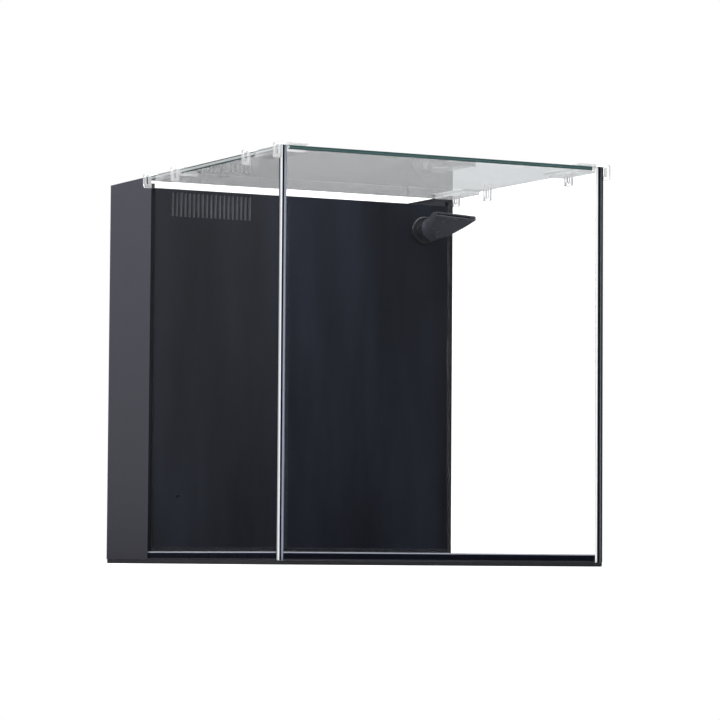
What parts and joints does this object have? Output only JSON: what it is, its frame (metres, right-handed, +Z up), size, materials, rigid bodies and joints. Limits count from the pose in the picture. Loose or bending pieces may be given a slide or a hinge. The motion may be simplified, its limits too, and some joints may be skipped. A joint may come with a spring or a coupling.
{
  "type": "nano aquarium",
  "caption": "Small glass aquarium with a filter chamber behind a black weir partition, a sliding glass lid on clear holders and a return nozzle.",
  "frame": {"origin": "centre of the underside, on the surface the tank stands on", "axes": "+Z up, the front pane faces -Y, +Y towards the filter chamber, +X to the right seen from the front"},
  "size_m": [0.366, 0.4002, 0.3924],
  "materials": {
    "clear_glass": "polished float glass, ground edges",
    "lid_glass": "float glass with green edges",
    "clear_plastic": "clear moulded polycarbonate",
    "clear_silicone": "clear silicone",
    "black_silicone": "black silicone",
    "black_acrylic": "satin black acrylic sheet",
    "black_film": "fine-grained matte film",
    "foam": "closed-cell foam",
    "black_plastic": "moulded, satin",
    "rubber": "soft rubber",
    "pipe_plastic": "extruded, satin",
    "ceramic_white": "dense ceramic",
    "bio_ceramic": "porous ceramic",
    "magnet": "coated magnet and blades",
    "screw_steel": "stainless",
    "floss": "polyester wadding",
    "carbon_mesh": "carbon granules in a mesh pouch",
    "basket_plastic": "moulded, satin"
  },
  "bodies": {
    "tank": {"base_mat": "foam", "bottom_pane": "clear_glass", "front_pane": "clear_glass", "rear_pane": "clear_glass", "left_pane": "clear_glass", "right_pane": "clear_glass", "pane_bonds": "clear_silicone", "display_seams": "clear_silicone", "partition_seams": "black_silicone", "rear_seams": "black_silicone", "baffle_seams": "black_silicone", "weir_partition": "black_acrylic", "intake_baffle": "black_acrylic", "pump_baffle": "black_acrylic", "left_film": "black_film", "right_film": "black_film", "rear_film": "black_film", "bulkhead_gasket": "rubber", "bulkhead": "black_plastic", "bulkhead_nut": "black_plastic", "return_elbow": "pipe_plastic", "riser_pipe": "pipe_plastic", "pump_housing": "black_plastic", "suction_feet": "rubber", "impeller_shaft": "ceramic_white", "shaft_bushings": "rubber", "volute_cover": "black_plastic", "cover_screws": "screw_steel", "pump_seal_ring": "rubber", "intake_strainer": "black_plastic", "cord_gland": "rubber"},
    "lid_holders": {"lid_holder_front_left": "clear_plastic", "lid_holder_front_right": "clear_plastic", "lid_holder_rear_left": "clear_plastic", "lid_holder_rear_right": "clear_plastic"},
    "lid": {"lid_glass": "lid_glass"},
    "ball_connector": {"ball_connector": "black_plastic"},
    "nozzle": {"flare_nozzle": "black_plastic"},
    "impeller": {"pump_impeller": "magnet"},
    "flow_dial": {"flow_dial": "black_plastic"},
    "media_basket": {"media_basket": "basket_plastic", "basket_shelves": "basket_plastic", "bio_block": "bio_ceramic", "carbon_pouch": "carbon_mesh", "floss_pad": "floss"}
  },
  "joints": [
    {"name": "lid_lift", "type": "slide", "parent": "tank", "child": "lid_holders", "axis": [0, 0, 1], "range_m": [0, 0.04]},
    {"name": "lid_slide", "type": "slide", "parent": "lid_holders", "child": "lid", "axis": [0, 1, 0], "range_m": [0, 0.078]},
    {"name": "connector_turn", "type": "hinge", "parent": "tank", "child": "ball_connector", "pos_m": [0.1361, 0.0735, 0.3508], "axis": [0, -1, 0], "range_deg": [-90, 90]},
    {"name": "nozzle_tilt", "type": "hinge", "parent": "ball_connector", "child": "nozzle", "pos_m": [0.1361, 0.0735, 0.3508], "axis": [-0.9984, 0.0107, 0.0548], "range_deg": [-29, 7]},
    {"name": "impeller_spin", "type": "hinge", "parent": "tank", "child": "impeller", "pos_m": [0.1361, 0.146, 0.046], "axis": [1, 0, 0], "continuous": true},
    {"name": "flow_dial_turn", "type": "hinge", "parent": "tank", "child": "flow_dial", "pos_m": [0.1361, 0.146, 0.046], "axis": [1, 0, 0], "range_deg": [0, 45]},
    {"name": "basket_lift", "type": "slide", "parent": "tank", "child": "media_basket", "axis": [0, 0, 1], "range_m": [0, 0.43]}
  ]
}
